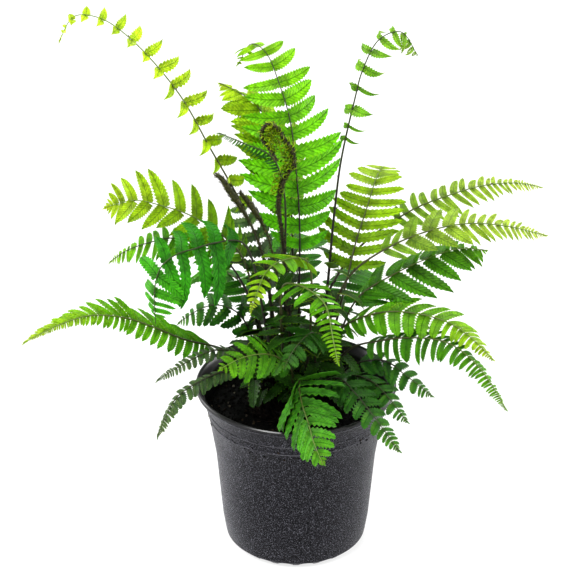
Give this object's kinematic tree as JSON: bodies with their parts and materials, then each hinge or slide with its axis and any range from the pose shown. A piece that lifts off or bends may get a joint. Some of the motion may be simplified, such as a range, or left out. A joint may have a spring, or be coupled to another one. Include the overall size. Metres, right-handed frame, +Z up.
{
  "type": "potted fern",
  "caption": "Shaggy fern with arching feathery fronds and scaly coiled young fronds, growing from a crown in soil in a round plastic nursery pot.",
  "frame": {"origin": "centre of the flat underside of the pot", "axes": "+Z up through the middle of the pot; the picture looks along +Y from the front, with +X to the right"},
  "size_m": [0.3354, 0.2333, 0.364],
  "materials": {
    "pot_plastic": "satin",
    "soil": "matte",
    "crown": "matte",
    "crozier": "matte",
    "leaf_lime": "satin",
    "leaf_green": "satin",
    "leaf_dark": "satin"
  },
  "bodies": {
    "root": {"pot": "pot_plastic", "soil": "soil", "crown": "crown", "crozier_middle": "crozier", "crozier_left": "crozier", "crozier_small": "crozier", "frond_tall_left": "leaf_lime", "frond_tall_middle": "leaf_lime", "frond_tall_right": "leaf_lime", "frond_tall_back": "leaf_lime", "frond_front_middle": "leaf_green", "frond_front_pointing": "leaf_lime", "frond_front_small": "leaf_lime", "frond_front_left": "leaf_green", "frond_front_dark": "leaf_dark", "frond_front_right": "leaf_dark", "frond_rim_right": "leaf_dark", "frond_rim_far_right": "leaf_dark", "frond_low_left": "leaf_green", "frond_rim_left": "leaf_dark", "frond_small_left": "leaf_dark", "frond_right_low": "leaf_green", "frond_right_bright": "leaf_green", "frond_left_wide": "leaf_green", "frond_left_lime": "leaf_lime", "frond_left_behind": "leaf_dark", "frond_left_small": "leaf_dark", "frond_right_upper_lime": "leaf_lime", "frond_right_far": "leaf_green", "frond_right_lime": "leaf_lime", "frond_right_deep": "leaf_dark", "frond_thin_left": "leaf_dark", "frond_behind_left": "leaf_dark", "frond_back_right": "leaf_green", "frond_back_middle": "leaf_green", "frond_back_left": "leaf_green"}
  },
  "joints": []
}
